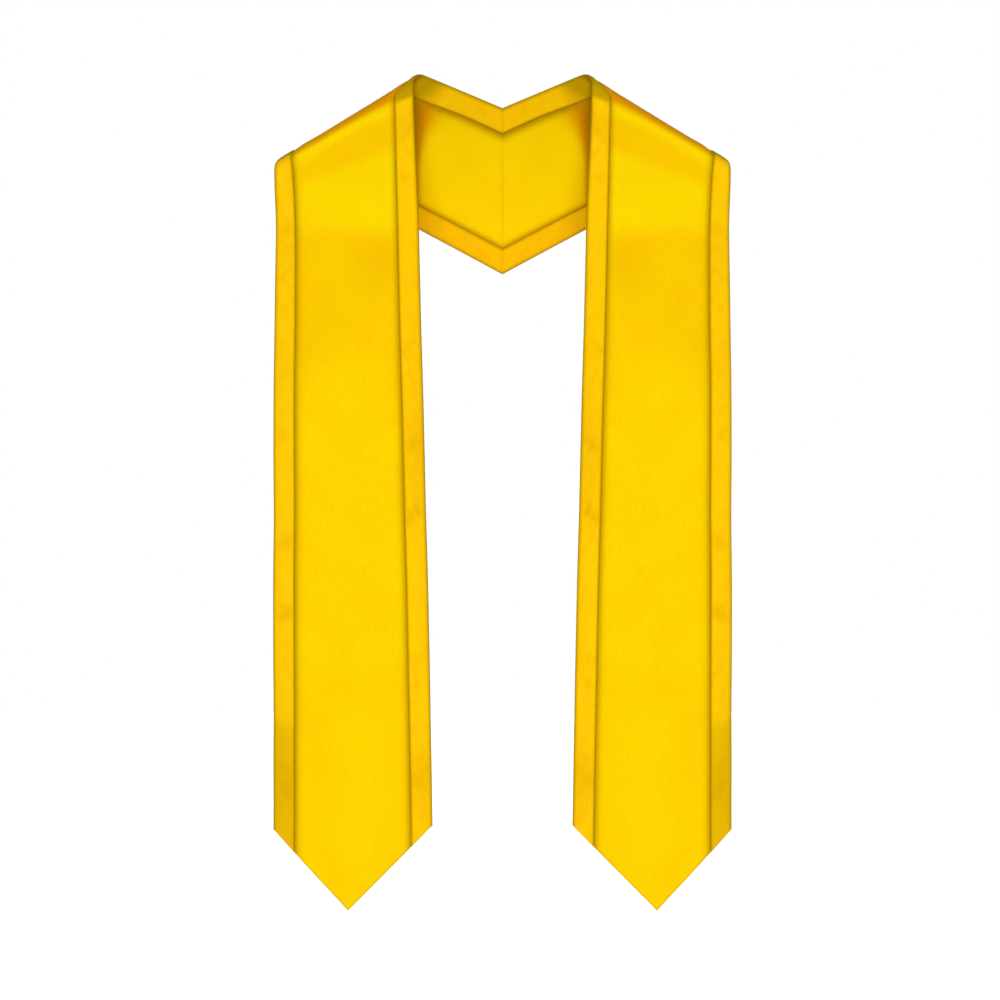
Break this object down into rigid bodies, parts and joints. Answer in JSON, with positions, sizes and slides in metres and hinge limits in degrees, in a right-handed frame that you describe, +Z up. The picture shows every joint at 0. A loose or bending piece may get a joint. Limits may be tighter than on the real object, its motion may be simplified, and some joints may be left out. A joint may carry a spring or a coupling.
{
  "type": "graduation stole",
  "caption": "Graduation stole in its worn form: pointed front panels folded over the shoulders into a V-shaped yoke behind the neck, with a folded band on each long edge.",
  "frame": {"origin": "between the shoulder folds, level with the underside of their inner ends, where the stole sits on the neck and shoulders", "axes": "+Z up along the hanging panels, +X to the right as seen from the front, -Y towards the front panels"},
  "size_m": [0.4244, 0.1612, 0.7796],
  "materials": {
    "satin_yellow": "bright golden-yellow satin",
    "satin_amber": "amber-yellow satin, a little darker and warmer than the panels"
  },
  "bodies": {
    "root": {"panel_left": "satin_yellow", "panel_right": "satin_yellow", "inner_band_left": "satin_amber", "inner_band_right": "satin_amber", "outer_band_left": "satin_amber", "outer_band_right": "satin_amber"}
  },
  "joints": []
}
